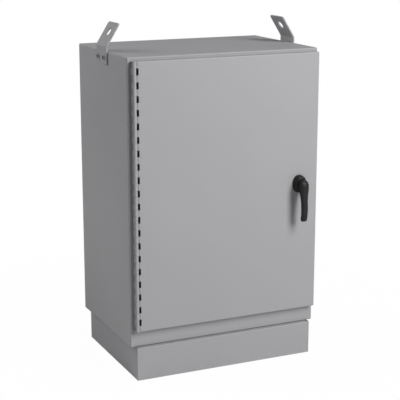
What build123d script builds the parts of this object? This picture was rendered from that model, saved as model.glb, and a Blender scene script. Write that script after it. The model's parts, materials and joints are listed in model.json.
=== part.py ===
from build123d import *
import math
import os

os.makedirs("parts", exist_ok=True)

# Free-standing fibre cabinet, millimetres. X to the right, +Z up, the door looks along -Y.
# The origin is on the floor, at the centre of the plinth's four anchor holes.

# Body: one folded and welded steel case
body_w = 762.0
body_d = 508.0
body_h = 1066.8
sheet = 2.5
corner_r = 5.0
edge_r = 4.0
lip_reach = 9.0

# Plinth under the body
plinth_h = 127.0
plinth_inset = 20.0
plinth_d = 512.0
plinth_forward = 17.0
plinth_sheet = 3.0
plinth_flange = 40.0
plate_flange = 27.0
shadow_gap = 1.5
anchor_hole_d = 14.0
anchor_from_web = 23.0
anchor_pitch_y = 340.0

# Door: a folded pan that stands proud of the body
door_from_left = 28.5
door_from_right = 3.7
door_from_roof = 12.8
door_from_floor = 63.5
door_depth = 20.5
door_gap = 3.0
door_overlap = 30.0
gasket_w = 14.0
soft_gap = 0.3

# Continuous hinge
body_knuckles = 20
barrel_wall = 3.0
pin_d = 8.0
pin_clearance = 0.08
knuckle_gap = 0.4
barrel_proud = 0.5
slot_w = 7.0
slot_depth = 14.0

# Lifting straps
strap_w = 104.0
strap_t = 4.8
strap_low = 46.0
strap_rise = 19.5
strap_leg = 93.0
strap_lean = 32.0
strap_bend_r = 12.0
strap_corner_r = 9.0
lift_hole_d = 30.0
lift_hole_from_tip = 40.0
strap_bolt_pitch = 60.0
strap_bolt_drop = 22.0

# Handle and three-point latch
handle_from_right = 82.0
handle_z = 690.0
rose_w = 50.0
rose_h = 68.0
rose_drop = 3.0
rose_t = 22.0
lever_gap = 0.6
shaft_d = 12.0
shaft_square = 9.0
bush_d = 24.0
cam_t = 5.0
cam_behind_front = 5.0
cam_r = 26.0
pawl_reach = 62.0
pawl_w = 22.0
cam_pin_d = 6.0
cam_pin_r = 20.0
rod_d = 10.0
rod_plate_t = 4.0
rod_plate_w = 19.0
rod_plate_reach = 30.0
rod_slot_play = 0.75
layer_gap = 0.5
roller_d = 16.0
roller_w = 6.0
roller_pin_d = 5.0
roller_short_of_lip = 5.0
fork_wall = 3.0
fork_depth = 12.0
guide_t = 3.0
guide_w = 36.0
guide_clearance = 0.3

# Fasteners
m6_d = 6.0
m6_flats = 10.0
m6_head = 4.0
m6_nut = 5.0
m8_flats = 13.0
m8_nut = 6.8
m10_d = 10.0
m10_flats = 16.0
m10_head = 6.4
m10_nut = 8.4
strap_bolt_d = 9.5
strap_bolt_flats = 14.3
thread_past_nut = 2.0
washer_t = 2.0
thread_clearance = 0.05
hole_clearance = 0.5

# Inside
panel_side_gap = 41.0
panel_end_gap = 53.4
panel_flange = 15.0
panel_from_back = 28.0
stud_d = 8.0
stud_collar_d = 16.0
stud_inset = 40.0
gland_cut_w = 300.0
gland_cut_d = 120.0
gland_plate_margin = 22.0
gland_plate_t = 3.0
gland_screw_edge = 10.0
gland_count = 4
gland_from_back = 150.0
gland_pitch = 68.0
gland_thread_d = 32.0
tray_box_w = 440.0
tray_box_h = 178.0
tray_box_d = 150.0
tray_sheet = 1.5
tray_above_middle = 180.0
tray_hole_d = 32.0
tray_hole_inset = 35.0
adapter_columns = 12
adapter_rows = 2
spools_below_middle = 170.0
spool_pitch_x = 300.0
spool_pitch_z = 220.0

# Planes and edges that the pieces share
body_bottom = plinth_h
roof_z = body_bottom + body_h
side_x = body_w / 2
front_y = -plinth_d / 2 + plinth_forward
back_y = front_y + body_d
body_mid_y = (front_y + back_y) / 2
inner_back_y = back_y - sheet
frame_back_y = front_y + sheet
floor_z = body_bottom + sheet

door_left = -side_x + door_from_left
door_right = side_x - door_from_right
door_low = body_bottom + door_from_floor
door_high = roof_z - door_from_roof
door_w = door_right - door_left
door_h = door_high - door_low
door_x = (door_left + door_right) / 2
door_z = (door_low + door_high) / 2
door_back_y = front_y - door_gap
door_front_y = door_back_y - door_depth
door_inner_y = door_front_y + sheet

opening_w = door_w - 2 * door_overlap
opening_h = door_h - 2 * door_overlap
opening_top = door_high - door_overlap
opening_bottom = door_low + door_overlap

pin_r = pin_d / 2
bore_r = pin_r + pin_clearance
barrel_r = bore_r + barrel_wall
hinge_x = door_left - barrel_r
hinge_y = door_front_y - barrel_proud + barrel_r
knuckle_pitch = door_h / (2 * body_knuckles + 1)
knuckle_len = knuckle_pitch - knuckle_gap


def facing_front(y):
    """A plane at the given depth: its x is X, its y is Z, and it looks out of the door side."""
    return Plane.XZ.offset(-y)


def facing_side(x):
    """A plane at the given width: its x is Y, its y is Z, and it looks along +X."""
    return Plane.YZ.offset(x)


def moved(plane, x, y):
    """The same plane with its origin at a local x and y."""
    return Plane(plane.from_local_coords((x, y, 0)), x_dir=plane.x_dir, z_dir=plane.z_dir)


def flipped(plane):
    """The same place, looking the other way."""
    return Plane(plane.origin, x_dir=plane.x_dir, z_dir=-plane.z_dir)


def save(builder, name):
    builder.part.label = name
    export_step(builder.part, f"parts/{name}.step")


def save_hex_bolts(name, seats, flats, head, shank_d, shank):
    """Hex bolts, each on a plane at the underside of its head."""
    with BuildPart() as bolts:
        with BuildSketch(*seats):
            RegularPolygon(flats / 2, 6, major_radius=False)
        extrude(amount=head)
        with BuildSketch(*[flipped(seat) for seat in seats]):
            Circle(shank_d / 2)
        extrude(amount=shank)
    save(bolts, name)


def save_nuts(name, seats, flats, height, shank_d):
    """Hex nuts, each on the plane that it bears on."""
    with BuildPart() as nuts:
        with BuildSketch(*seats):
            RegularPolygon(flats / 2, 6, major_radius=False)
            Circle(shank_d / 2 + thread_clearance, mode=Mode.SUBTRACT)
        extrude(amount=height)
    save(nuts, name)


def save_washers(name, seats, outer_d, shank_d):
    """Plain washers, each on the plane that it bears on."""
    with BuildPart() as washers:
        with BuildSketch(*seats):
            Circle(outer_d / 2)
            Circle(shank_d / 2 + hole_clearance / 2, mode=Mode.SUBTRACT)
        extrude(amount=washer_t)
    save(washers, name)


# Lifting strap layout, shared by the body's holes
strap_bolt_z = roof_z - strap_bolt_drop
strap_bolt_ys = [-strap_bolt_pitch / 2, strap_bolt_pitch / 2]

# Body bolts: two through each plinth side
body_bolt_x = side_x - plinth_inset - anchor_from_web
body_bolt_spots = [(x, y) for x in (-body_bolt_x, body_bolt_x) for y in (-anchor_pitch_y / 2, anchor_pitch_y / 2)]

# Mounting panel and its studs
panel_w = body_w - 2 * panel_side_gap
panel_h = body_h - 2 * panel_end_gap
stud_xs = [-panel_w / 2 + stud_inset, panel_w / 2 - stud_inset]
panel_z = body_bottom + body_h / 2
stud_zs = [panel_z - panel_h / 2 + stud_inset, panel_z + panel_h / 2 - stud_inset]
stud_spots = [(x, z) for x in stud_xs for z in stud_zs]
panel_back_y = inner_back_y - panel_from_back
panel_front_y = panel_back_y - sheet

# Gland plate layout
gland_y = back_y - gland_from_back
gland_plate_w = gland_cut_w + 2 * gland_plate_margin
gland_plate_d = gland_cut_d + 2 * gland_plate_margin
gland_screw_spots = [
    (x, gland_y + y)
    for x in (gland_screw_edge - gland_plate_w / 2, 0, gland_plate_w / 2 - gland_screw_edge)
    for y in (gland_screw_edge - gland_plate_d / 2, gland_plate_d / 2 - gland_screw_edge)
]
gland_spots = [((i - (gland_count - 1) / 2) * gland_pitch, gland_y) for i in range(gland_count)]

# Latch layout: where the shaft and the two rods stand
handle_x = side_x - handle_from_right
pin_swing = cam_pin_r * math.sin(math.radians(45))
slot_mid = (pin_swing + cam_pin_r) / 2

# Body: a folded case with roof, floor, sides and back, and the front frame that is welded to it


def save_case(name, kept):
    """The welded case, cut at the back of its front frame; only the kept side is saved."""
    with BuildPart() as case:
        with BuildSketch(Plane.XY.offset(body_bottom)):
            with Locations((0, body_mid_y)):
                RectangleRounded(body_w, body_d, corner_r)
        extrude(amount=body_h)
        fillet(case.faces().filter_by(Axis.Z).edges(), edge_r)
        with BuildSketch(Plane.XY.offset(floor_z)):
            with Locations((0, body_mid_y)):
                RectangleRounded(body_w - 2 * sheet, body_d - 2 * sheet, corner_r - sheet)
        extrude(amount=body_h - 2 * sheet, mode=Mode.SUBTRACT)
        with BuildSketch(facing_front(frame_back_y)):
            with Locations((door_x, door_z)):
                RectangleRounded(opening_w + 2 * sheet, opening_h + 2 * sheet, corner_r + sheet)
        extrude(amount=sheet + lip_reach)
        with BuildSketch(facing_front(frame_back_y)):
            with Locations((door_x, door_z)):
                RectangleRounded(opening_w, opening_h, corner_r)
        extrude(amount=sheet + lip_reach, mode=Mode.SUBTRACT)
        with BuildSketch(facing_side(-side_x)):
            with Locations(*[(y, strap_bolt_z) for y in strap_bolt_ys]):
                Circle((strap_bolt_d + hole_clearance) / 2)
        extrude(amount=body_w, mode=Mode.SUBTRACT)
        with BuildSketch(Plane.XY.offset(body_bottom)):
            with Locations((0, gland_y)):
                RectangleRounded(gland_cut_w, gland_cut_d, corner_r)
            with Locations(*body_bolt_spots):
                Circle((m10_d + hole_clearance) / 2)
            with Locations(*gland_screw_spots):
                Circle((m6_d + hole_clearance) / 2)
        extrude(amount=sheet, mode=Mode.SUBTRACT)
        split(bisect_by=facing_front(frame_back_y), keep=kept)
    save(case, name)


save_case("front_frame", Keep.TOP)
save_case("body_shell", Keep.BOTTOM)

# Plinth side channels: web, top flange under the body, bottom flange with the anchor holes
web_x = side_x - plinth_inset
channel_len = plinth_d - 2 * plinth_sheet
flange_len = channel_len - 2 * plate_flange
for side, label in ((-1, "plinth_side_left"), (1, "plinth_side_right")):
    with BuildPart() as channel:
        with BuildSketch(Plane.XY):
            with Locations((side * (web_x - plinth_sheet / 2), 0)):
                Rectangle(plinth_sheet, channel_len)
        extrude(amount=plinth_h)
        for flange_z in (0, plinth_h - plinth_sheet):
            with BuildSketch(Plane.XY.offset(flange_z)):
                with Locations((side * (web_x - plinth_flange / 2), 0)):
                    Rectangle(plinth_flange, flange_len)
            extrude(amount=plinth_sheet)
        long_edges = channel.edges().filter_by(Axis.Y)
        outer_x = side * web_x
        outer_edges = [edge for edge in long_edges if abs(edge.center().X - outer_x) < 0.01]
        fillet(outer_edges, plinth_sheet * 0.6)
        with BuildSketch(Plane.XY):
            with Locations(*[(side * body_bolt_x, y) for y in (-anchor_pitch_y / 2, anchor_pitch_y / 2)]):
                Circle(anchor_hole_d / 2)
        extrude(amount=plinth_sheet, mode=Mode.SUBTRACT)
        with BuildSketch(Plane.XY.offset(plinth_h - plinth_sheet)):
            with Locations(*[(side * body_bolt_x, y) for y in (-anchor_pitch_y / 2, anchor_pitch_y / 2)]):
                Circle((m10_d + hole_clearance) / 2)
        extrude(amount=plinth_sheet, mode=Mode.SUBTRACT)
    save(channel, label)

# Plinth front and rear plates: web with a rounded top fold and flanges cut back at the corners
plate_h = plinth_h - shadow_gap
flange_relief = 6.0
for end, label in ((-1, "plinth_front"), (1, "plinth_rear")):
    web_y = end * (plinth_d / 2 - plinth_sheet / 2)
    flange_y = end * (plinth_d / 2 - plate_flange / 2)
    with BuildPart() as plate:
        with BuildSketch(Plane.XY):
            with Locations((0, web_y)):
                Rectangle(2 * web_x, plinth_sheet)
        extrude(amount=plate_h)
        for flange_z in (0, plate_h - plinth_sheet):
            with BuildSketch(Plane.XY.offset(flange_z)):
                with Locations((0, flange_y)):
                    Rectangle(2 * (web_x - flange_relief), plate_flange)
            extrude(amount=plinth_sheet)
        rim = end * plinth_d / 2
        top_edges = [
            edge
            for edge in plate.edges().filter_by(Axis.X)
            if abs(edge.center().Y - rim) < 0.01 and edge.center().Z > plate_h / 2
        ]
        fillet(top_edges, plinth_sheet - 0.2)
        end_edges = [
            edge
            for edge in plate.edges().filter_by(Axis.Z)
            if abs(edge.center().Y - rim) < 0.01 and abs(abs(edge.center().X) - web_x) < 0.01
        ]
        fillet(end_edges, plinth_sheet * 0.5)
    save(plate, label)

# Corner angles that tie the plinth's plates together, with their screws on the inside
corner_leg = 40.0
corner_h = 90.0
corner_screw_reach = 26.0
corner_z = (plinth_h - corner_h) / 2
corner_inner_x = web_x - plinth_sheet
corner_inner_y = plinth_d / 2 - plinth_sheet
corner_screw_seats = []
corner_index = 0
for end in (-1, 1):
    for side in (-1, 1):
        corner_index += 1
        with BuildPart() as angle:
            with BuildSketch(Plane.XY.offset(corner_z)):
                with Locations((side * (corner_inner_x - plinth_sheet / 2), end * (corner_inner_y - corner_leg / 2))):
                    Rectangle(plinth_sheet, corner_leg)
                with Locations((side * (corner_inner_x - corner_leg / 2), end * (corner_inner_y - plinth_sheet / 2))):
                    Rectangle(corner_leg, plinth_sheet)
            extrude(amount=corner_h)
            seat_x = side * (corner_inner_x - plinth_sheet)
            seat_y = end * (corner_inner_y - plinth_sheet)
            screw_x = side * (corner_inner_x - corner_screw_reach)
            screw_y = end * (corner_inner_y - corner_screw_reach)
            seats = [
                Plane((seat_x, screw_y, plinth_h / 2), z_dir=(-side, 0, 0)),
                Plane((screw_x, seat_y, plinth_h / 2), z_dir=(0, -end, 0)),
            ]
            with BuildSketch(*seats):
                Circle((m6_d + hole_clearance) / 2)
            extrude(amount=-plinth_sheet, mode=Mode.SUBTRACT)
        save(angle, f"plinth_corner_{corner_index}")
        corner_screw_seats += seats
save_hex_bolts("plinth_corner_screws", corner_screw_seats, m6_flats, m6_head, m6_d, plinth_sheet)

# Bolts that hold the body down on the plinth
body_bolt_seats = [moved(Plane.XY.offset(floor_z + washer_t), x, y) for x, y in body_bolt_spots]
body_washer_seats = [moved(Plane.XY.offset(floor_z), x, y) for x, y in body_bolt_spots]
body_nut_seats = [moved(flipped(Plane.XY.offset(plinth_h - plinth_sheet)), x, -y) for x, y in body_bolt_spots]
body_bolt_shank = washer_t + sheet + plinth_sheet + m10_nut + thread_past_nut
save_hex_bolts("body_bolts", body_bolt_seats, m10_flats, m10_head, m10_d, body_bolt_shank)
save_washers("body_bolt_washers", body_washer_seats, 20.0, m10_d)
save_nuts("body_bolt_nuts", body_nut_seats, m10_flats, m10_nut, m10_d)

# Lifting straps: a flat bar bent inwards above the roof, with a round lifting hole
lean = math.radians(strap_lean)
strap_foot_z = roof_z - strap_low
strap_bend_z = roof_z + strap_rise
for side, label in ((-1, "lifting_strap_left"), (1, "lifting_strap_right")):
    bend_x = side * side_x
    tip_x = bend_x - side * strap_leg * math.sin(lean)
    tip_z = strap_bend_z + strap_leg * math.cos(lean)
    leg_plane = Plane(
        (bend_x, 0, strap_bend_z),
        x_dir=(0, 1, 0),
        z_dir=(side * math.cos(lean), 0, math.sin(lean)),
    )
    with BuildPart() as strap:
        with BuildSketch(Plane.XZ.offset(-strap_w / 2)):
            with BuildLine():
                inner = FilletPolyline((bend_x, strap_foot_z), (bend_x, strap_bend_z), (tip_x, tip_z), radius=strap_bend_r)
                offset(inner, strap_t, side=Side.RIGHT if side > 0 else Side.LEFT)
            make_face()
        extrude(amount=strap_w)
        tip_edges = strap.edges().group_by(SortBy.LENGTH)[0]
        tip_edges = [edge for edge in tip_edges if edge.center().Z > strap_bend_z + strap_leg / 2]
        fillet(tip_edges, strap_corner_r)
        hole_up = (strap_leg - lift_hole_from_tip) * (1 if leg_plane.y_dir.Z > 0 else -1)
        with BuildSketch(leg_plane):
            with Locations((0, hole_up)):
                Circle(lift_hole_d / 2)
        extrude(amount=strap_t * 2, both=True, mode=Mode.SUBTRACT)
        with BuildSketch(facing_side(side * side_x)):
            with Locations(*[(y, strap_bolt_z) for y in strap_bolt_ys]):
                Circle((strap_bolt_d + hole_clearance) / 2)
        extrude(amount=side * strap_t, mode=Mode.SUBTRACT)
    save(strap, label)

# Strap bolts from outside, washers and nuts inside the body
strap_bolt_seats = []
strap_nut_seats = []
for side in (-1, 1):
    for y in strap_bolt_ys:
        strap_bolt_seats.append(Plane((side * (side_x + strap_t), y, strap_bolt_z), z_dir=(side, 0, 0)))
        strap_nut_seats.append(Plane((side * (side_x - sheet), y, strap_bolt_z), z_dir=(-side, 0, 0)))
strap_nut_on_washer = [seat.offset(washer_t) for seat in strap_nut_seats]
strap_shank = strap_t + sheet + washer_t + m10_nut + thread_past_nut
save_hex_bolts("lifting_bolts", strap_bolt_seats, strap_bolt_flats, m10_head, strap_bolt_d, strap_shank)
save_washers("lifting_washers", strap_nut_seats, 22.0, strap_bolt_d)
save_nuts("lifting_nuts", strap_nut_on_washer, strap_bolt_flats, m10_nut, strap_bolt_d)

# Continuous hinge: twenty knuckles on the body leaf and twenty-one on the door leaf
door_knuckle_zs = [door_low + knuckle_gap / 2 + 2 * i * knuckle_pitch for i in range(body_knuckles + 1)]
body_knuckle_zs = [z + knuckle_pitch for z in door_knuckle_zs[:-1]]
web_clear = barrel_r + 0.5


def save_hinge_leaf(name, side, leaf_end_y, knuckle_zs, shoulder):
    """Rolled knuckles on a leaf that runs back from the barrel; side is -1 left of the pin.

    The shoulder is how far each knuckle is squared off in front of the pin, where it meets its leaf.
    """
    leaf_x = hinge_x + side * (bore_r + barrel_wall / 2)
    strip_from = hinge_y + web_clear
    with BuildPart() as leaf:
        with BuildSketch(*[Plane.XY.offset(z) for z in knuckle_zs]):
            with Locations((hinge_x, hinge_y)):
                Circle(barrel_r)
            with Locations((leaf_x, (hinge_y + leaf_end_y) / 2)):
                Rectangle(barrel_wall, leaf_end_y - hinge_y)
            if shoulder > 0:
                with Locations((hinge_x + side * barrel_r / 2, hinge_y - shoulder / 2)):
                    Rectangle(barrel_r, shoulder)
            with Locations((hinge_x, hinge_y)):
                Circle(bore_r, mode=Mode.SUBTRACT)
        extrude(amount=knuckle_len)
        with BuildSketch(Plane.XY.offset(door_low)):
            with Locations((leaf_x, (strip_from + leaf_end_y) / 2)):
                Rectangle(barrel_wall, leaf_end_y - strip_from)
        extrude(amount=door_h)
    save(leaf, name)


save_hinge_leaf("hinge_leaf_body", -1, front_y, body_knuckle_zs, 0)
save_hinge_leaf("hinge_leaf_door", 1, door_back_y, door_knuckle_zs, hinge_y - door_front_y)

with BuildPart() as hinge_pin:
    with BuildSketch(Plane.XY.offset(door_low)):
        with Locations((hinge_x, hinge_y)):
            Circle(pin_r)
    extrude(amount=door_h)
save(hinge_pin, "hinge_pin")

# Door: a pan with rounded folds, notched for the body knuckles and pierced for the latch
rose_screw_pitch = 44.0
rose_screw_d = 5.0
rose_screw_spots = [(handle_x, handle_z - rose_screw_pitch / 2), (handle_x, handle_z + rose_screw_pitch / 2)]
slot_h = knuckle_pitch + knuckle_gap
with BuildPart() as door_panel:
    with BuildSketch(facing_front(door_back_y)):
        with Locations((door_x, door_z)):
            RectangleRounded(door_w, door_h, corner_r)
    extrude(amount=door_depth)
    fillet(door_panel.faces().sort_by(Axis.Y)[0].edges(), edge_r)
    with BuildSketch(facing_front(door_back_y)):
        with Locations((door_x, door_z)):
            RectangleRounded(door_w - 2 * sheet, door_h - 2 * sheet, corner_r - sheet)
    extrude(amount=door_depth - sheet, mode=Mode.SUBTRACT)
    with BuildSketch(facing_front(door_front_y)):
        with Locations(*[(door_left + slot_w / 2, z + knuckle_len / 2) for z in body_knuckle_zs]):
            Rectangle(slot_w, slot_h)
    extrude(amount=-slot_depth, mode=Mode.SUBTRACT)
    with BuildSketch(facing_front(door_front_y)):
        with Locations((handle_x, handle_z)):
            Circle((bush_d + hole_clearance) / 2)
        with Locations(*rose_screw_spots):
            Circle((rose_screw_d + hole_clearance) / 2)
    extrude(amount=-sheet, mode=Mode.SUBTRACT)
save(door_panel, "door_panel")

# Foamed seal on the door, just clear of the body's rain lip
gasket_t = (front_y - lip_reach - soft_gap) - door_inner_y
with BuildPart() as door_gasket:
    with BuildSketch(facing_front(front_y - lip_reach - soft_gap)):
        with Locations((door_x, door_z)):
            RectangleRounded(opening_w + sheet + gasket_w, opening_h + sheet + gasket_w, corner_r + gasket_w / 2)
            RectangleRounded(
                opening_w + sheet - gasket_w, opening_h + sheet - gasket_w, corner_r, mode=Mode.SUBTRACT
            )
    extrude(amount=gasket_t)
save(door_gasket, "door_gasket")

# Hat-section stiffener, welded upright inside the door
hat_x = door_x - 55.0
hat_web = 40.0
hat_depth = 18.0
hat_foot = 15.0
hat_t = 2.0
hat_len = opening_h - 60.0
with BuildPart() as door_stiffener:
    with BuildSketch(Plane.XY.offset(door_z - hat_len / 2)):
        with Locations((hat_x, door_inner_y + hat_depth / 2)):
            Rectangle(hat_web, hat_depth)
        with Locations((hat_x, door_inner_y + hat_t / 2)):
            Rectangle(hat_web + 2 * hat_foot, hat_t)
        with Locations((hat_x, door_inner_y + (hat_depth - hat_t) / 2)):
            Rectangle(hat_web - 2 * hat_t, hat_depth - hat_t, mode=Mode.SUBTRACT)
    extrude(amount=hat_len)
save(door_stiffener, "door_stiffener")

# Moulded document pocket, open at the top
pocket_clear = 28.0
pocket_h = 230.0
pocket_d = 28.0
pocket_t = 2.5
pocket_left = hat_x + hat_web / 2 + hat_foot + pocket_clear
pocket_right = handle_x + slot_mid - guide_w / 2 - pocket_clear
pocket_w = pocket_right - pocket_left
pocket_x = (pocket_left + pocket_right) / 2
pocket_low = opening_bottom + 70.0
with BuildPart() as document_pocket:
    with BuildSketch(Plane.XY.offset(pocket_low)):
        with Locations((pocket_x, door_inner_y + pocket_d / 2)):
            RectangleRounded(pocket_w, pocket_d, 4.0)
    extrude(amount=pocket_h)
    with BuildSketch(Plane.XY.offset(pocket_low + pocket_t)):
        with Locations((pocket_x, door_inner_y + pocket_d / 2)):
            RectangleRounded(pocket_w - 2 * pocket_t, pocket_d - 2 * pocket_t, 2.0)
    extrude(amount=pocket_h, mode=Mode.SUBTRACT)
    with BuildSketch(facing_front(door_inner_y + pocket_d)):
        with Locations((pocket_x, pocket_low + pocket_h)):
            Ellipse(pocket_w * 0.3, 40.0)
    extrude(amount=pocket_t, mode=Mode.SUBTRACT)
save(document_pocket, "document_pocket")

# Handle rose: a moulded housing on the door face with a well rounded front
rose_top_y = door_front_y - rose_t
rose_corner_r = 24.0
rose_draft = 9.0
rose_edge_r = 9.5
rose_screw_depth = 10.0
rose_screw_head = 3.0
with BuildPart() as handle_rose:
    with BuildSketch(facing_front(door_front_y)):
        with Locations((handle_x, handle_z - rose_drop)):
            RectangleRounded(rose_w, rose_h, rose_corner_r)
    extrude(amount=rose_t, taper=rose_draft)
    fillet(handle_rose.faces().sort_by(Axis.Y)[0].edges(), rose_edge_r)
    with BuildSketch(facing_front(door_front_y)):
        with Locations((handle_x, handle_z)):
            Circle((bush_d + hole_clearance) / 2)
    extrude(amount=rose_t, mode=Mode.SUBTRACT)
    with BuildSketch(facing_front(door_front_y)):
        with Locations(*rose_screw_spots):
            Circle(rose_screw_d / 2 + thread_clearance)
    extrude(amount=rose_screw_depth, mode=Mode.SUBTRACT)
save(handle_rose, "handle_rose")

# Rose screws, put in from inside the door
rose_screw_seats = [moved(flipped(facing_front(door_inner_y)), x, -z) for x, z in rose_screw_spots]
with BuildPart() as rose_screws:
    with BuildSketch(*rose_screw_seats):
        Circle(rose_screw_d * 0.9)
    extrude(amount=rose_screw_head)
    with BuildSketch(*[flipped(seat) for seat in rose_screw_seats]):
        Circle(rose_screw_d / 2)
    extrude(amount=sheet + rose_screw_depth - 1)
save(rose_screws, "rose_screws")

# Flanged bush that the handle's shaft turns in, and its nut inside the door
bush_flange_d = 34.0
bush_inner_y = door_inner_y + 13.0
bush_nut_t = 6.0
shaft_r = shaft_d / 2
with BuildPart() as shaft_bush:
    with BuildSketch(facing_front(bush_inner_y)):
        with Locations((handle_x, handle_z)):
            Circle(bush_d / 2)
            Circle(shaft_r + pin_clearance, mode=Mode.SUBTRACT)
    extrude(amount=bush_inner_y - rose_top_y)
save(shaft_bush, "shaft_bush")
with BuildPart() as bush_nut:
    with BuildSketch(facing_front(door_inner_y + bush_nut_t)):
        with Locations((handle_x, handle_z)):
            RegularPolygon(bush_flange_d / 2, 6, major_radius=False)
            Circle(bush_d / 2 + thread_clearance, mode=Mode.SUBTRACT)
    extrude(amount=bush_nut_t)
save(bush_nut, "bush_nut")

# Lever: a cast hub that bends into a hanging grip, with its boss towards the rose
# Each section: height over the shaft, distance out from the door, half width, half thickness
lever_sections = [
    (15.0, 36.0, 10.0, 5.0),
    (8.5, 37.0, 17.5, 10.5),
    (-8.0, 38.5, 21.0, 13.5),
    (-24.0, 40.5, 19.5, 12.0),
    (-42.0, 43.0, 16.5, 9.5),
    (-67.0, 46.5, 14.0, 8.0),
    (-98.0, 48.5, 14.0, 7.5),
    (-119.0, 47.0, 13.5, 8.5),
    (-132.0, 45.0, 13.5, 8.5),
    (-140.0, 44.0, 10.0, 6.0),
]
lever_back_y = rose_top_y - lever_gap
hub_r = 15.0
hub_len = 12.0
with BuildPart() as handle_lever:
    for rise, out, half_w, half_t in lever_sections:
        with BuildSketch(Plane.XY.offset(handle_z + rise)):
            with Locations((handle_x, door_front_y - out)):
                Ellipse(half_w, half_t)
    loft()
    with BuildSketch(facing_front(lever_back_y)):
        with Locations((handle_x, handle_z)):
            Circle(hub_r)
    extrude(amount=hub_len)
    with BuildSketch(facing_front(lever_back_y)):
        with Locations((handle_x, handle_z)):
            Circle(shaft_r + thread_clearance)
    extrude(amount=hub_len, mode=Mode.SUBTRACT)
save(handle_lever, "handle_lever")

# Shaft: round through the bush, square where it carries the cam
cam_front_y = front_y + cam_behind_front
cam_back_y = cam_front_y + cam_t
with BuildPart() as handle_shaft:
    with BuildSketch(facing_front(cam_front_y)):
        with Locations((handle_x, handle_z)):
            Circle(shaft_r)
    extrude(amount=cam_front_y - lever_back_y + hub_len)
    with BuildSketch(facing_front(cam_back_y)):
        with Locations((handle_x, handle_z)):
            Rectangle(shaft_square, shaft_square)
    extrude(amount=cam_t)
save(handle_shaft, "handle_shaft")

# Cam plate: two rod pins and a pawl that swings behind the front frame
cam_pin_spots = [(handle_x - pin_swing, handle_z - pin_swing), (handle_x + pin_swing, handle_z + pin_swing)]
with BuildPart() as latch_cam:
    with BuildSketch(facing_front(cam_back_y)):
        with Locations((handle_x, handle_z)):
            Circle(cam_r)
        with Locations((handle_x, handle_z + pawl_reach / 2)):
            Rectangle(pawl_w, pawl_reach)
        with Locations((handle_x, handle_z)):
            Rectangle(shaft_square + 0.2, shaft_square + 0.2, mode=Mode.SUBTRACT)
        with Locations(*cam_pin_spots):
            Circle(cam_pin_d / 2 + thread_clearance, mode=Mode.SUBTRACT)
    extrude(amount=cam_t)
save(latch_cam, "latch_cam")
with BuildPart() as cam_pins:
    with BuildSketch(facing_front(cam_back_y + layer_gap + rod_plate_t + 1.0)):
        with Locations(*cam_pin_spots):
            Circle(cam_pin_d / 2)
    extrude(amount=cam_t + layer_gap + rod_plate_t + 1.0)
save(cam_pins, "cam_pins")
with BuildPart() as cam_screw:
    with BuildSketch(facing_front(cam_back_y + m6_head)):
        with Locations((handle_x, handle_z)):
            Circle(m6_flats * 0.6)
    extrude(amount=m6_head)
    chamfer(cam_screw.faces().sort_by(Axis.Y)[-1].edges(), 1.0)
save(cam_screw, "cam_screw")

# Latch rods: a slotted flat end on the cam pin, a round rod and a forked end with a roller
rod_y = cam_back_y + layer_gap + rod_plate_t / 2
rod_slot_len = cam_pin_r - pin_swing + cam_pin_d + 2 * rod_slot_play
roller_r = roller_d / 2
fork_w = roller_w + 2 * soft_gap + 2 * fork_wall
roller_from_slot = roller_r + 2.0
plate_margin_z = 6.0
fork_base = 6.0
fork_margin = 2.5
pin_stick_out = 0.5
roller_edge_r = 1.0


def save_rod(prefix, up):
    """The rod above the handle when up is 1, and the one below it when up is -1."""
    rod_x = handle_x - up * slot_mid
    slot_z = handle_z - up * pin_swing
    lip_z = opening_top if up > 0 else opening_bottom
    roller_z = lip_z - up * (roller_short_of_lip + roller_r)
    fork_root = roller_z - up * roller_from_slot
    plate_from = slot_z - up * (cam_pin_d / 2 + plate_margin_z)
    plate_to = handle_z + up * rod_plate_reach
    fork_tip = roller_z + up * (roller_pin_d / 2 + fork_margin)
    with BuildPart() as rod:
        with BuildSketch(facing_front(rod_y + rod_plate_t / 2)):
            with Locations((rod_x, (plate_from + plate_to) / 2)):
                Rectangle(rod_plate_w, abs(plate_to - plate_from))
            with Locations((rod_x, slot_z)):
                SlotOverall(rod_slot_len, cam_pin_d + 2 * rod_slot_play, mode=Mode.SUBTRACT)
        extrude(amount=rod_plate_t)
        with BuildSketch(Plane.XY.offset(plate_to)):
            with Locations((rod_x, rod_y)):
                Circle(rod_d / 2)
        extrude(amount=fork_root - up * fork_base - plate_to)
        with BuildSketch(Plane.XY.offset(fork_root - up * fork_base)):
            with Locations((rod_x, rod_y)):
                Rectangle(fork_w, fork_depth)
        extrude(amount=fork_tip - fork_root + up * fork_base)
        with BuildSketch(Plane.XY.offset(fork_root)):
            with Locations((rod_x, rod_y)):
                Rectangle(roller_w + 2 * soft_gap, fork_depth)
        extrude(amount=fork_tip - fork_root, mode=Mode.SUBTRACT)
        with BuildSketch(facing_side(rod_x - fork_w / 2)):
            with Locations((rod_y, roller_z)):
                Circle(roller_pin_d / 2 + thread_clearance)
        extrude(amount=fork_w, mode=Mode.SUBTRACT)
    save(rod, f"{prefix}_rod")
    with BuildPart() as pin:
        with BuildSketch(facing_side(rod_x - fork_w / 2 - pin_stick_out)):
            with Locations((rod_y, roller_z)):
                Circle(roller_pin_d / 2)
        extrude(amount=fork_w + 2 * pin_stick_out)
    save(pin, f"{prefix}_roller_pin")
    with BuildPart() as roller:
        with BuildSketch(facing_side(rod_x - roller_w / 2)):
            with Locations((rod_y, roller_z)):
                Circle(roller_r)
                Circle(roller_pin_d / 2 + pin_clearance, mode=Mode.SUBTRACT)
        extrude(amount=roller_w)
        fillet(roller.faces().filter_by(Axis.X).edges().group_by(SortBy.LENGTH)[-1], roller_edge_r)
    save(roller, f"{prefix}_roller")
    return rod_x, roller_z


upper_rod_x, upper_roller_z = save_rod("upper", 1)
lower_rod_x, lower_roller_z = save_rod("lower", -1)

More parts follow.
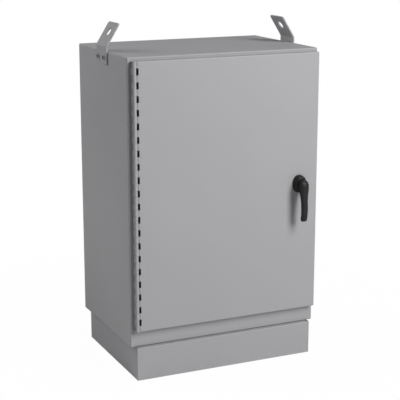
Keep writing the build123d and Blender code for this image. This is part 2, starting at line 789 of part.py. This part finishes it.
# Rod guides: folded brackets on the door, two to a rod
guide_base_h = 30.0
guide_margin = 6.0
guide_from_handle = 110.0
guide_from_roller = 60.0
guide_reach = rod_y + rod_d / 2 + guide_margin
upper_guide_zs = [handle_z + guide_from_handle, upper_roller_z - guide_from_roller]
lower_guide_zs = [handle_z - guide_from_handle, lower_roller_z + guide_from_roller]
guide_index = 0
for rod_x, guide_zs in ((upper_rod_x, upper_guide_zs), (lower_rod_x, lower_guide_zs)):
    for guide_z in guide_zs:
        guide_index += 1
        with BuildPart() as guide:
            with BuildSketch(facing_front(door_inner_y + guide_t)):
                with Locations((rod_x, guide_z + guide_base_h / 2)):
                    Rectangle(guide_w, guide_base_h)
            extrude(amount=guide_t)
            with BuildSketch(Plane.XY.offset(guide_z)):
                with Locations((rod_x, (door_inner_y + guide_reach) / 2)):
                    Rectangle(guide_w, guide_reach - door_inner_y)
                with Locations((rod_x, rod_y)):
                    Circle(rod_d / 2 + guide_clearance, mode=Mode.SUBTRACT)
            extrude(amount=guide_t)
        save(guide, f"rod_guide_{guide_index}")

# Mounting panel on four collared studs
with BuildPart() as mounting_panel:
    with BuildSketch(facing_front(panel_back_y)):
        with Locations((0, panel_z)):
            RectangleRounded(panel_w, panel_h, corner_r)
        with Locations(*stud_spots):
            Circle((stud_d + hole_clearance) / 2, mode=Mode.SUBTRACT)
    extrude(amount=sheet)
    with BuildSketch(facing_front(panel_back_y + panel_flange)):
        for side in (-1, 1):
            with Locations((side * (panel_w - sheet) / 2, panel_z)):
                Rectangle(sheet, panel_h - 2 * corner_r)
    extrude(amount=panel_flange)
save(mounting_panel, "mounting_panel")
with BuildPart() as panel_studs:
    with BuildSketch(facing_front(inner_back_y)):
        with Locations(*stud_spots):
            Circle(stud_collar_d / 2)
    extrude(amount=panel_from_back)
    with BuildSketch(facing_front(panel_back_y)):
        with Locations(*stud_spots):
            Circle(stud_d / 2)
    extrude(amount=sheet + m8_nut + 4.0)
save(panel_studs, "panel_studs")
panel_nut_seats = [moved(facing_front(panel_front_y), x, z) for x, z in stud_spots]
save_nuts("panel_nuts", panel_nut_seats, m8_flats, m8_nut, stud_d)

# Fibre tray box on the panel, with its adapter plate, adapters and splice trays
tray_box_z = panel_z + tray_above_middle
tray_front_y = panel_front_y - tray_box_d
tray_low = tray_box_z - tray_box_h / 2
with BuildPart() as fiber_tray_box:
    with BuildSketch(facing_front(panel_front_y)):
        with Locations((0, tray_box_z)):
            Rectangle(tray_box_w, tray_box_h)
    extrude(amount=tray_box_d)
    with BuildSketch(facing_front(panel_front_y - tray_sheet)):
        with Locations((0, tray_box_z)):
            Rectangle(tray_box_w - 2 * tray_sheet, tray_box_h - 2 * tray_sheet)
    extrude(amount=tray_box_d - tray_sheet, mode=Mode.SUBTRACT)
    with BuildSketch(facing_side(-tray_box_w / 2)):
        with Locations((panel_front_y - tray_hole_inset, tray_low + tray_hole_inset)):
            Circle(tray_hole_d / 2)
    extrude(amount=tray_box_w, mode=Mode.SUBTRACT)
save(fiber_tray_box, "fiber_tray_box")

adapter_pitch_x = 30.0
adapter_pitch_z = 34.0
adapter_w = 12.6
adapter_h = 9.2
adapter_flange = 2.5
adapter_cap = 6.0
adapter_behind = 12.0
adapter_above_middle = 38.0
adapter_z = tray_box_z + adapter_above_middle
adapter_spots = [
    ((column - (adapter_columns - 1) / 2) * adapter_pitch_x, adapter_z + (row - (adapter_rows - 1) / 2) * adapter_pitch_z)
    for column in range(adapter_columns)
    for row in range(adapter_rows)
]
plate_margin = 0.5
adapter_plate_h = tray_box_h / 2 - tray_sheet - plate_margin
adapter_plate_z = tray_box_z + tray_box_h / 2 - tray_sheet - plate_margin / 2 - adapter_plate_h / 2
adapter_plate_y = tray_front_y + 6.0
with BuildPart() as adapter_plate:
    with BuildSketch(facing_front(adapter_plate_y)):
        with Locations((0, adapter_plate_z)):
            Rectangle(tray_box_w - 2 * tray_sheet - plate_margin, adapter_plate_h)
        with Locations(*adapter_spots):
            Rectangle(adapter_w + 0.2, adapter_h + 0.2, mode=Mode.SUBTRACT)
    extrude(amount=tray_sheet)
save(adapter_plate, "adapter_plate")
with BuildPart() as fiber_adapters:
    with BuildSketch(facing_front(adapter_plate_y + adapter_behind)):
        with Locations(*adapter_spots):
            Rectangle(adapter_w, adapter_h)
    extrude(amount=adapter_behind + tray_sheet + adapter_flange)
    with BuildSketch(facing_front(adapter_plate_y - tray_sheet)):
        with Locations(*adapter_spots):
            Rectangle(adapter_w + 5.0, adapter_h + 3.0)
    extrude(amount=adapter_flange)
    with BuildSketch(facing_front(adapter_plate_y - tray_sheet - adapter_flange)):
        with Locations(*adapter_spots):
            Rectangle(adapter_w - 3.0, adapter_h - 3.0)
    extrude(amount=adapter_cap)
save(fiber_adapters, "fiber_adapters")

# Closed splice cassettes, stacked in the bottom of the tray box
cassette_side_gap = 50.0
cassette_front_gap = 20.5
cassette_back_gap = 8.0
cassette_w = tray_box_w - 2 * cassette_side_gap
cassette_d = tray_box_d - tray_sheet - cassette_back_gap - cassette_front_gap
cassette_corner_r = 20.0
cassette_h = 12.0
cassette_count = 3
cassette_lid = 2.0
cassette_step = 3.0
cassette_y = panel_front_y - tray_sheet - cassette_back_gap - cassette_d / 2
for index in range(cassette_count):
    cassette_z = tray_low + tray_sheet + index * cassette_h
    with BuildPart() as cassette:
        with BuildSketch(Plane.XY.offset(cassette_z)):
            with Locations((0, cassette_y)):
                RectangleRounded(cassette_w, cassette_d, cassette_corner_r)
        extrude(amount=cassette_h - cassette_lid)
        with BuildSketch(Plane.XY.offset(cassette_z + cassette_h - cassette_lid)):
            with Locations((0, cassette_y)):
                RectangleRounded(cassette_w - cassette_step, cassette_d - cassette_step, cassette_corner_r - cassette_step / 2)
        extrude(amount=cassette_lid)
    save(cassette, f"splice_cassette_{index + 1}")

# Spools for spare fibre, lower on the panel
spool_r = 26.0
spool_len = 40.0
spool_rim = 4.0
spool_rim_t = 3.0
spool_z = panel_z - spools_below_middle
spool_spots = [
    (x, spool_z + z)
    for x in (-spool_pitch_x / 2, spool_pitch_x / 2)
    for z in (-spool_pitch_z / 2, spool_pitch_z / 2)
]
with BuildPart() as slack_spools:
    with BuildSketch(facing_front(panel_front_y)):
        with Locations(*spool_spots):
            Circle(spool_r)
    extrude(amount=spool_len)
    with BuildSketch(facing_front(panel_front_y - spool_len)):
        with Locations(*spool_spots):
            Circle(spool_r + spool_rim)
    extrude(amount=spool_rim_t)
save(slack_spools, "slack_spools")

# Gland plate over the cable cut-out in the floor, with glands and locknuts
with BuildPart() as gland_plate:
    with BuildSketch(Plane.XY.offset(floor_z)):
        with Locations((0, gland_y)):
            RectangleRounded(gland_plate_w, gland_plate_d, corner_r)
        with Locations(*gland_spots):
            Circle((gland_thread_d + hole_clearance) / 2, mode=Mode.SUBTRACT)
        with Locations(*gland_screw_spots):
            Circle((m6_d + hole_clearance) / 2, mode=Mode.SUBTRACT)
    extrude(amount=gland_plate_t)
save(gland_plate, "gland_plate")
gland_top = floor_z + gland_plate_t
gland_screw_seats = [moved(Plane.XY.offset(gland_top), x, y) for x, y in gland_screw_spots]
gland_screw_len = gland_plate_t + sheet + m6_nut + 1.0
save_hex_bolts("gland_plate_screws", gland_screw_seats, m6_flats, m6_head, m6_d, gland_screw_len)
gland_nut_seats = [moved(flipped(Plane.XY.offset(body_bottom)), x, -y) for x, y in gland_screw_spots]
save_nuts("gland_plate_nuts", gland_nut_seats, m6_flats, m6_nut, m6_d)
gland_bore_d = 18.0
gland_flats = 42.0
gland_hex_h = 12.0
gland_dome_h = 16.0
gland_thread_len = 12.0
gland_locknut_t = 7.0
gland_root_z = body_bottom + sheet - gland_thread_len
with BuildPart() as cable_glands:
    with BuildSketch(Plane.XY.offset(gland_root_z)):
        with Locations(*gland_spots):
            Circle(gland_thread_d / 2)
    extrude(amount=gland_top - gland_root_z)
    with BuildSketch(Plane.XY.offset(gland_top)):
        with Locations(*gland_spots):
            RegularPolygon(gland_flats / 2, 6, major_radius=False)
    extrude(amount=gland_hex_h)
    with BuildSketch(Plane.XY.offset(gland_top + gland_hex_h)):
        with Locations(*gland_spots):
            Circle(gland_flats / 2 - 3.0)
    extrude(amount=gland_dome_h, taper=12.0)
    with BuildSketch(Plane.XY.offset(gland_root_z)):
        with Locations(*gland_spots):
            Circle(gland_bore_d / 2)
    extrude(amount=gland_top + gland_hex_h + gland_dome_h - gland_root_z, mode=Mode.SUBTRACT)
save(cable_glands, "cable_glands")
with BuildPart() as gland_locknuts:
    with BuildSketch(Plane.XY.offset(floor_z - gland_locknut_t)):
        with Locations(*gland_spots):
            RegularPolygon(gland_flats / 2, 6, major_radius=False)
            Circle(gland_thread_d / 2 + thread_clearance, mode=Mode.SUBTRACT)
    extrude(amount=gland_locknut_t)
save(gland_locknuts, "gland_locknuts")
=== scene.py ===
import json
import math

import bpy
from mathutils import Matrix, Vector


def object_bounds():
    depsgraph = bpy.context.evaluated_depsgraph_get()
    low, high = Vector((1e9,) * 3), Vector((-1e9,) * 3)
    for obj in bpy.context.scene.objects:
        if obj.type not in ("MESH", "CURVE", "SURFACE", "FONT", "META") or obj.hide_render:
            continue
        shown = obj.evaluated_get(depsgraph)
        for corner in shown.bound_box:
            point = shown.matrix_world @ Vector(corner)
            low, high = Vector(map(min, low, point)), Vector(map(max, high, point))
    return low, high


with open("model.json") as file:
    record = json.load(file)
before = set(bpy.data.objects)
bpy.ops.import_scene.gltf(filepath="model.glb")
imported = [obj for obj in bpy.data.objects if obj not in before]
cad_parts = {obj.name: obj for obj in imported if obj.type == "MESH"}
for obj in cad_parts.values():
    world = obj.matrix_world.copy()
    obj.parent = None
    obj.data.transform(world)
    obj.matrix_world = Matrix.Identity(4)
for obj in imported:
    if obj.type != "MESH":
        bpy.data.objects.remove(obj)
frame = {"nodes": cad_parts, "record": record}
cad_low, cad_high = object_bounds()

nodes = frame["nodes"]
bpy.ops.object.select_all(action="DESELECT")

# Camera: a long lens, a little left of the front and above the roof
CAMERA_PLACE = (-1.8494, -4.0640, 1.6793)
CAMERA_TURN = math.radians(24.57)
CAMERA_DIP = math.radians(13.65)
CAMERA_FOCAL_PX = 1180.5
IMAGE_PX = 400
SENSOR_MM = 36.0

# Light: a tall soft box at the front right, one behind at the left and a faint room
KEY_POWER = 302.0
KEY_GLOSS = 0.85
KEY_SIZE = (1.8, 3.9)
KEY_DISTANCE = 5.5
KEY_DIRECTION = (0.40, -0.74, 0.54)
SIDE_POWER = 86.0
SIDE_SIZE = (3.0, 3.0)
SIDE_DISTANCE = 4.2
SIDE_DIRECTION = (-0.66, 0.52, 0.54)
ROOM_COLOUR = (0.98, 0.99, 1.0)
AMBIENT = 0.03
SHEEN = 0.31

# Floor: its white share for the camera grows from the cabinet outwards
FLOOR_SIZE = 80.0
FLOOR_COLOUR = (0.82, 0.82, 0.82)
FLOOR_ROUGH = 0.9
FLOOR_FADE = (0.3, 2.2)
FLOOR_WHITE = (0.98, 1.0)

# Colours of the finishes, linear
CABINET_GREY = (0.372, 0.370, 0.382)
PANEL_WHITE = (0.78, 0.78, 0.76)
ZINC = (0.56, 0.57, 0.58)
LATCH_BLACK = (0.014, 0.014, 0.015)
POCKET_GREY = (0.27, 0.28, 0.29)
GLAND_BLACK = (0.026, 0.026, 0.027)
ADAPTER_BLUE = (0.035, 0.14, 0.46)
SEAL_BLACK = (0.035, 0.035, 0.037)
NYLON = (0.72, 0.71, 0.66)

# The part of a noise's range that the finishes use
NOISE_RANGE = (0.3, 0.7)

# Powder paint: noises in cycles for each metre, depths in metres
PAINT_DRIFT = 3.0
PAINT_DRIFT_SPREAD = 0.015
PEEL_GRAIN = 420.0
PEEL_DEPTH = 0.00006
PEEL_STRENGTH = 0.6
PAINT_PATCHES = 60.0
PAINT_ROUGH = (0.44, 0.52)
PAINT_SHINE = 0.35

# Zinc plating
SPANGLE = 180.0
SPANGLE_SPREAD = 0.12
ZINC_PATCHES = 500.0
ZINC_ROUGH = (0.20, 0.32)
DRAWN_GRAIN = 900.0
DRAWN_STRETCH = (1, 1, 0.15)
DRAWN_DEPTH = 0.00002
DRAWN_STRENGTH = 0.5

# Mouldings, castings and foam
MOULD_DRIFT = 40.0
MOULD_DRIFT_SPREAD = 0.06
MOULD_PATCHES = 300.0
MOULD_ROUGH_SPREAD = 0.05
MOULD_STRENGTH = 0.7
MOULD_DEPTH = 0.00005
FOAM_DEPTH = 0.0002
MOULD_SHINE = 0.5
LATCH_SHINE = 0.25


def new_material(name):
    """A material with its node tree and its main shader."""
    material = bpy.data.materials.new(name)
    material.use_nodes = True
    tree = material.node_tree
    return material, tree, tree.nodes["Principled BSDF"]


def remap(tree, value, old_range, new_range):
    """The value, moved from one range to another."""
    node = tree.nodes.new("ShaderNodeMapRange")
    node.inputs["From Min"].default_value, node.inputs["From Max"].default_value = old_range
    node.inputs["To Min"].default_value, node.inputs["To Max"].default_value = new_range
    tree.links.new(value, node.inputs["Value"])
    return node.outputs["Result"]


def combine(tree, operation, first, second):
    """One value made of two by the named operation."""
    node = tree.nodes.new("ShaderNodeMath")
    node.operation = operation
    tree.links.new(first, node.inputs[0])
    tree.links.new(second, node.inputs[1])
    return node.outputs["Value"]


def mix_into(tree, share, first, second, output):
    """Two shaders mixed by a share and led to the output's surface."""
    mix = tree.nodes.new("ShaderNodeMixShader")
    tree.links.new(share, mix.inputs["Fac"])
    tree.links.new(first, mix.inputs[1])
    tree.links.new(second, mix.inputs[2])
    tree.links.new(mix.outputs["Shader"], tree.nodes[output].inputs["Surface"])


def noise_at(tree, scale, detail, stretch=(1, 1, 1)):
    """A noise on the piece's own coordinates, in cycles for each metre."""
    coords = tree.nodes.new("ShaderNodeTexCoord")
    mapping = tree.nodes.new("ShaderNodeMapping")
    mapping.inputs["Scale"].default_value = stretch
    noise = tree.nodes.new("ShaderNodeTexNoise")
    noise.inputs["Scale"].default_value = scale
    noise.inputs["Detail"].default_value = detail
    tree.links.new(coords.outputs["Object"], mapping.inputs["Vector"])
    tree.links.new(mapping.outputs["Vector"], noise.inputs["Vector"])
    return noise.outputs["Fac"]


def tone(tree, shader, colour, noise, spread):
    """The colour, a little darker and lighter with the noise."""
    ramp = tree.nodes.new("ShaderNodeValToRGB")
    dark, light = ramp.color_ramp.elements
    dark.position, light.position = NOISE_RANGE
    dark.color = [c * (1 - spread) for c in colour] + [1]
    light.color = [min(1, c * (1 + spread)) for c in colour] + [1]
    tree.links.new(noise, ramp.inputs["Fac"])
    tree.links.new(ramp.outputs["Color"], shader.inputs["Base Color"])


def relief(tree, shader, noise, depth, strength):
    """Fine relief of the given depth in metres."""
    bump = tree.nodes.new("ShaderNodeBump")
    bump.inputs["Distance"].default_value = depth
    bump.inputs["Strength"].default_value = strength
    tree.links.new(noise, bump.inputs["Height"])
    tree.links.new(bump.outputs["Normal"], shader.inputs["Normal"])


def roughness(tree, shader, noise, rough_range):
    """Roughness that wanders between two values with the noise."""
    tree.links.new(remap(tree, noise, NOISE_RANGE, rough_range), shader.inputs["Roughness"])


def powder_coat(name, colour):
    """Baked powder paint: a fine orange peel over a faint drift of tone."""
    material, tree, shader = new_material(name)
    tone(tree, shader, colour, noise_at(tree, PAINT_DRIFT, 3.0), PAINT_DRIFT_SPREAD)
    relief(tree, shader, noise_at(tree, PEEL_GRAIN, 1.0), PEEL_DEPTH, PEEL_STRENGTH)
    roughness(tree, shader, noise_at(tree, PAINT_PATCHES, 2.0), PAINT_ROUGH)
    shader.inputs["Specular IOR Level"].default_value = PAINT_SHINE
    return material


def zinc_plate(name):
    """Zinc plating: metal with faint spangle and drawn grain."""
    material, tree, shader = new_material(name)
    tone(tree, shader, ZINC, noise_at(tree, SPANGLE, 3.0), SPANGLE_SPREAD)
    roughness(tree, shader, noise_at(tree, ZINC_PATCHES, 2.0), ZINC_ROUGH)
    grain = noise_at(tree, DRAWN_GRAIN, 1.0, DRAWN_STRETCH)
    relief(tree, shader, grain, DRAWN_DEPTH, DRAWN_STRENGTH)
    shader.inputs["Metallic"].default_value = 1.0
    return material


def moulding(name, colour, rough, grain, depth=MOULD_DEPTH, shine=MOULD_SHINE):
    """Moulded or cast surface with a spark-eroded grain."""
    material, tree, shader = new_material(name)
    tone(tree, shader, colour, noise_at(tree, MOULD_DRIFT, 3.0), MOULD_DRIFT_SPREAD)
    relief(tree, shader, noise_at(tree, grain, 2.0), depth, MOULD_STRENGTH)
    rough_range = (rough - MOULD_ROUGH_SPREAD, rough + MOULD_ROUGH_SPREAD)
    roughness(tree, shader, noise_at(tree, MOULD_PATCHES, 2.0), rough_range)
    shader.inputs["Specular IOR Level"].default_value = shine
    return material


FINISHES = {
    "body_paint": powder_coat("body_powder_coat", CABINET_GREY),
    "door_paint": powder_coat("door_powder_coat", CABINET_GREY),
    "hinge_paint": powder_coat("hinge_powder_coat", CABINET_GREY),
    "plinth_paint": powder_coat("plinth_powder_coat", CABINET_GREY),
    "panel_paint": powder_coat("panel_enamel", PANEL_WHITE),
    "zinc_plate": zinc_plate("zinc_plate"),
    "black_moulding": moulding("latch_black", LATCH_BLACK, 0.42, 900.0, shine=LATCH_SHINE),
    "grey_plastic": moulding("pocket_plastic", POCKET_GREY, 0.5, 700.0),
    "black_plastic": moulding("gland_plastic", GLAND_BLACK, 0.42, 700.0),
    "adapter_blue": moulding("adapter_plastic", ADAPTER_BLUE, 0.3, 900.0),
    "seal_rubber": moulding("seal_foam", SEAL_BLACK, 0.85, 1400.0, FOAM_DEPTH),
    "roller_nylon": moulding("roller_nylon", NYLON, 0.4, 600.0),
}


def finish_cad_nodes():
    """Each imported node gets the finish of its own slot."""
    for entry in frame["record"]["subparts"]:
        mesh = nodes[entry["node"]].data
        mesh.materials.clear()
        mesh.materials.append(FINISHES[entry["material_slot"]])


finish_cad_nodes()


def make_floor():
    """A plain pale floor, white to the camera but for the cabinet's own shadow."""
    bpy.ops.mesh.primitive_plane_add(size=FLOOR_SIZE, location=(0, 0, 0))
    floor = bpy.context.active_object
    floor.name = "studio_floor"
    material, tree, shader = new_material("studio_floor_paint")
    shader.inputs["Base Color"].default_value = (*FLOOR_COLOUR, 1)
    shader.inputs["Roughness"].default_value = FLOOR_ROUGH
    shader.inputs["Specular IOR Level"].default_value = 0.0
    coords = tree.nodes.new("ShaderNodeTexCoord")
    far = tree.nodes.new("ShaderNodeVectorMath")
    far.operation = "LENGTH"
    tree.links.new(coords.outputs["Object"], far.inputs[0])
    fade = remap(tree, far.outputs["Value"], FLOOR_FADE, FLOOR_WHITE)
    path = tree.nodes.new("ShaderNodeLightPath")
    share = combine(tree, "MULTIPLY", fade, path.outputs["Is Camera Ray"])
    white = tree.nodes.new("ShaderNodeEmission")
    mix_into(tree, share, shader.outputs["BSDF"], white.outputs["Emission"], "Material Output")
    floor.data.materials.append(material)


make_floor()


def make_world():
    """An even room light, brighter in reflections and white to the camera."""
    world = bpy.data.worlds.new("studio")
    bpy.context.scene.world = world
    world.use_nodes = True
    tree = world.node_tree
    path = tree.nodes.new("ShaderNodeLightPath")
    room = tree.nodes["Background"]
    room.inputs["Color"].default_value = (*ROOM_COLOUR, 1)
    level = remap(tree, path.outputs["Is Glossy Ray"], (0, 1), (AMBIENT, SHEEN))
    tree.links.new(level, room.inputs["Strength"])
    white = tree.nodes.new("ShaderNodeBackground")
    white.inputs["Color"].default_value = (1, 1, 1, 1)
    seen = combine(
        tree, "MAXIMUM", path.outputs["Is Camera Ray"], path.outputs["Is Transmission Ray"]
    )
    mix_into(tree, seen, room.outputs["Background"], white.outputs["Background"], "World Output")


make_world()


def soft_lamp(name, direction, distance, size, power, mirrored):
    """A soft box, wide and tall as given, aimed at the cabinet and shown in gloss or not."""
    lamp = bpy.data.lights.new(name, "AREA")
    lamp.shape = "RECTANGLE"
    lamp.size, lamp.size_y = size
    lamp.energy = power
    holder = bpy.data.objects.new(name, lamp)
    bpy.context.scene.collection.objects.link(holder)
    middle = (cad_low + cad_high) / 2
    place = middle + Vector(direction).normalized() * distance
    holder.location = place
    holder.rotation_mode = "QUATERNION"
    holder.rotation_quaternion = (middle - place).to_track_quat("-Z", "Y")
    holder.visible_glossy = mirrored


# The front box is two lamps in one place, because only a part of its light shows in gloss
key_box = (KEY_DIRECTION, KEY_DISTANCE, KEY_SIZE)
soft_lamp("key_box", *key_box, KEY_POWER * (1 - KEY_GLOSS), False)
soft_lamp("key_gloss", *key_box, KEY_POWER * KEY_GLOSS, True)
soft_lamp("side_box", SIDE_DIRECTION, SIDE_DISTANCE, SIDE_SIZE, SIDE_POWER, True)


def make_camera():
    """The photograph's view: the lens, its place and where it looks."""
    lens = bpy.data.cameras.new("front_left")
    lens.sensor_width = SENSOR_MM
    lens.lens = CAMERA_FOCAL_PX / IMAGE_PX * SENSOR_MM
    camera = bpy.data.objects.new("front_left", lens)
    bpy.context.scene.collection.objects.link(camera)
    camera.location = CAMERA_PLACE
    across = math.cos(CAMERA_DIP)
    look = Vector((
        math.sin(CAMERA_TURN) * across,
        math.cos(CAMERA_TURN) * across,
        -math.sin(CAMERA_DIP),
    ))
    camera.rotation_mode = "QUATERNION"
    camera.rotation_quaternion = look.to_track_quat("-Z", "Y")
    bpy.context.scene.camera = camera


make_camera()

view = bpy.context.scene.view_settings
view.view_transform = "Standard"
